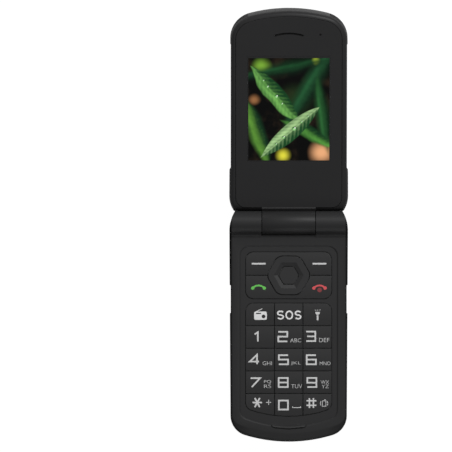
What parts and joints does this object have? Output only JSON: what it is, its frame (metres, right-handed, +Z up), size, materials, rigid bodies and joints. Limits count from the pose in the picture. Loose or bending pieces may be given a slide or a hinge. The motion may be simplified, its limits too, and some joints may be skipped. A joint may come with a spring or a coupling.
{
  "type": "folding keypad phone",
  "caption": "Rugged folding phone lying open: a keypad base with camera, torch and alarm key behind, and a screen lid on a sprung barrel hinge.",
  "frame": {"origin": "middle of the flat back that the phone lies on", "axes": "+Z up out of the keys, +Y from the keys towards the hinge and the open lid, +X to the reader's right"},
  "size_m": [0.0594, 0.2168, 0.0439],
  "materials": {
    "case_plastic": "fine-textured black plastic",
    "bumper_rubber": "speckled soft black rubber",
    "key_plastic": "smooth satin black key caps with pale printed legends",
    "face_panel": "glossy black face panel",
    "window_glass": "clear glass over a lit picture",
    "orange_key": null,
    "lens_plastic": "frosted pale yellow lens",
    "dark_glass": "smoked camera pane",
    "gold_contact": "gold-plated",
    "steel": "plain steel",
    "silicone": "grey silicone",
    "circuit_board": "green circuit board",
    "battery_wrap": "plain grey battery wrap",
    "flex_film": "amber flexible film"
  },
  "bodies": {
    "base": {"base_front_housing": "case_plastic", "base_rear_housing": "case_plastic", "upper_bumpers": "bumper_rubber", "lower_bumper": "bumper_rubber", "main_board": "circuit_board", "shield_cans": "steel", "dome_sheet": "flex_film", "keypad_membrane": "silicone", "battery": "battery_wrap", "camera_module": "dark_glass", "camera_bezel": "face_panel", "camera_window": "dark_glass", "torch_led": "lens_plastic", "torch_lens": "lens_plastic", "charging_contacts": "gold_contact", "usb_socket": "steel", "vibration_motor": "steel", "housing_screws": "steel", "hinge_cartridge": "steel", "hinge_bush": "gold_contact"},
    "lid": {"lid_front_frame": "case_plastic", "lid_rear_cover": "case_plastic", "lid_bumpers": "bumper_rubber", "lid_face_panel": "face_panel", "screen_window": "window_glass", "lcd_module": "steel", "earpiece_speaker": "steel", "earpiece_mesh": "steel", "loudspeaker": "dark_glass", "lid_board": "circuit_board", "lid_screws": "steel", "hinge_shaft": "steel", "hinge_pin": "steel", "hinge_flex": "flex_film"},
    "battery_cover": {"battery_cover": "case_plastic", "cover_seal": "silicone"},
    "rear_sos_key": {"rear_sos_key": "orange_key"},
    "volume_rocker": {"volume_rocker": "key_plastic"},
    "usb_flap": {"usb_flap": "bumper_rubber"},
    "soft_key_bar": {"soft_key_bar": "key_plastic"},
    "call_key_bar": {"call_key_bar": "key_plastic"},
    "nav_pad": {"nav_pad": "silicone"},
    "nav_ring": {"nav_ring": "key_plastic"},
    "ok_key": {"ok_key": "key_plastic"},
    "radio_key": {"radio_key": "key_plastic"},
    "sos_key": {"sos_key": "key_plastic"},
    "torch_key": {"torch_key": "key_plastic"},
    "key_1": {"key_1": "key_plastic"},
    "key_2": {"key_2": "key_plastic"},
    "key_3": {"key_3": "key_plastic"},
    "key_4": {"key_4": "key_plastic"},
    "key_5": {"key_5": "key_plastic"},
    "key_6": {"key_6": "key_plastic"},
    "key_7": {"key_7": "key_plastic"},
    "key_8": {"key_8": "key_plastic"},
    "key_9": {"key_9": "key_plastic"},
    "star_key": {"star_key": "key_plastic"},
    "key_0": {"key_0": "key_plastic"},
    "hash_key": {"hash_key": "key_plastic"}
  },
  "joints": [
    {"name": "lid_hinge", "type": "hinge", "parent": "base", "child": "lid", "pos_m": [0, 0.0541, 0.0126], "axis": [1, 0, 0], "range_deg": [0, 163]},
    {"name": "cover_lift", "type": "slide", "parent": "base", "child": "battery_cover", "axis": [0, 0, -1], "range_m": [0, 0.02]},
    {"name": "rear_sos_key_press", "type": "slide", "parent": "base", "child": "rear_sos_key", "axis": [0, 0, 1], "range_m": [0, 0.0005], "stiffness_N_per_m": 600},
    {"name": "volume_rock", "type": "hinge", "parent": "base", "child": "volume_rocker", "pos_m": [-0.02475, 0.0158, 0.00465], "axis": [0, 0, 1], "range_deg": [-2, 2], "stiffness_Nm_per_rad": 0.3},
    {"name": "flap_swing", "type": "hinge", "parent": "base", "child": "usb_flap", "pos_m": [0.0255, 0.0103, 0.00465], "axis": [0, 0, -1], "range_deg": [0, 95]},
    {"name": "soft_key_bar_rock", "type": "hinge", "parent": "base", "child": "soft_key_bar", "pos_m": [0, 0.0277, 0.0115], "axis": [0, 1, 0], "range_deg": [-0.8, 0.8], "stiffness_Nm_per_rad": 0.3},
    {"name": "call_key_bar_rock", "type": "hinge", "parent": "base", "child": "call_key_bar", "pos_m": [0, 0.0277, 0.0115], "axis": [0, 1, 0], "range_deg": [-0.8, 0.8], "stiffness_Nm_per_rad": 0.3},
    {"name": "nav_side_tilt", "type": "hinge", "parent": "base", "child": "nav_pad", "pos_m": [0, 0.0277, 0.0111], "axis": [0, 1, 0], "range_deg": [-1.2, 1.2], "stiffness_Nm_per_rad": 0.3},
    {"name": "nav_up_tilt", "type": "hinge", "parent": "nav_pad", "child": "nav_ring", "pos_m": [0, 0.0277, 0.0111], "axis": [1, 0, 0], "range_deg": [-1.2, 1.2], "stiffness_Nm_per_rad": 0.3},
    {"name": "ok_key_press", "type": "slide", "parent": "base", "child": "ok_key", "axis": [0, 0, -1], "range_m": [0, 0.0003], "stiffness_N_per_m": 600},
    {"name": "radio_key_press", "type": "slide", "parent": "base", "child": "radio_key", "axis": [0, 0, -1], "range_m": [0, 0.0003], "stiffness_N_per_m": 600},
    {"name": "sos_key_press", "type": "slide", "parent": "base", "child": "sos_key", "axis": [0, 0, -1], "range_m": [0, 0.0003], "stiffness_N_per_m": 600},
    {"name": "torch_key_press", "type": "slide", "parent": "base", "child": "torch_key", "axis": [0, 0, -1], "range_m": [0, 0.0003], "stiffness_N_per_m": 600},
    {"name": "key_1_press", "type": "slide", "parent": "base", "child": "key_1", "axis": [0, 0, -1], "range_m": [0, 0.0003], "stiffness_N_per_m": 600},
    {"name": "key_2_press", "type": "slide", "parent": "base", "child": "key_2", "axis": [0, 0, -1], "range_m": [0, 0.0003], "stiffness_N_per_m": 600},
    {"name": "key_3_press", "type": "slide", "parent": "base", "child": "key_3", "axis": [0, 0, -1], "range_m": [0, 0.0003], "stiffness_N_per_m": 600},
    {"name": "key_4_press", "type": "slide", "parent": "base", "child": "key_4", "axis": [0, 0, -1], "range_m": [0, 0.0003], "stiffness_N_per_m": 600},
    {"name": "key_5_press", "type": "slide", "parent": "base", "child": "key_5", "axis": [0, 0, -1], "range_m": [0, 0.0003], "stiffness_N_per_m": 600},
    {"name": "key_6_press", "type": "slide", "parent": "base", "child": "key_6", "axis": [0, 0, -1], "range_m": [0, 0.0003], "stiffness_N_per_m": 600},
    {"name": "key_7_press", "type": "slide", "parent": "base", "child": "key_7", "axis": [0, 0, -1], "range_m": [0, 0.0003], "stiffness_N_per_m": 600},
    {"name": "key_8_press", "type": "slide", "parent": "base", "child": "key_8", "axis": [0, 0, -1], "range_m": [0, 0.0003], "stiffness_N_per_m": 600},
    {"name": "key_9_press", "type": "slide", "parent": "base", "child": "key_9", "axis": [0, 0, -1], "range_m": [0, 0.0003], "stiffness_N_per_m": 600},
    {"name": "star_key_press", "type": "slide", "parent": "base", "child": "star_key", "axis": [0, 0, -1], "range_m": [0, 0.0003], "stiffness_N_per_m": 600},
    {"name": "key_0_press", "type": "slide", "parent": "base", "child": "key_0", "axis": [0, 0, -1], "range_m": [0, 0.0003], "stiffness_N_per_m": 600},
    {"name": "hash_key_press", "type": "slide", "parent": "base", "child": "hash_key", "axis": [0, 0, -1], "range_m": [0, 0.0003], "stiffness_N_per_m": 600}
  ]
}
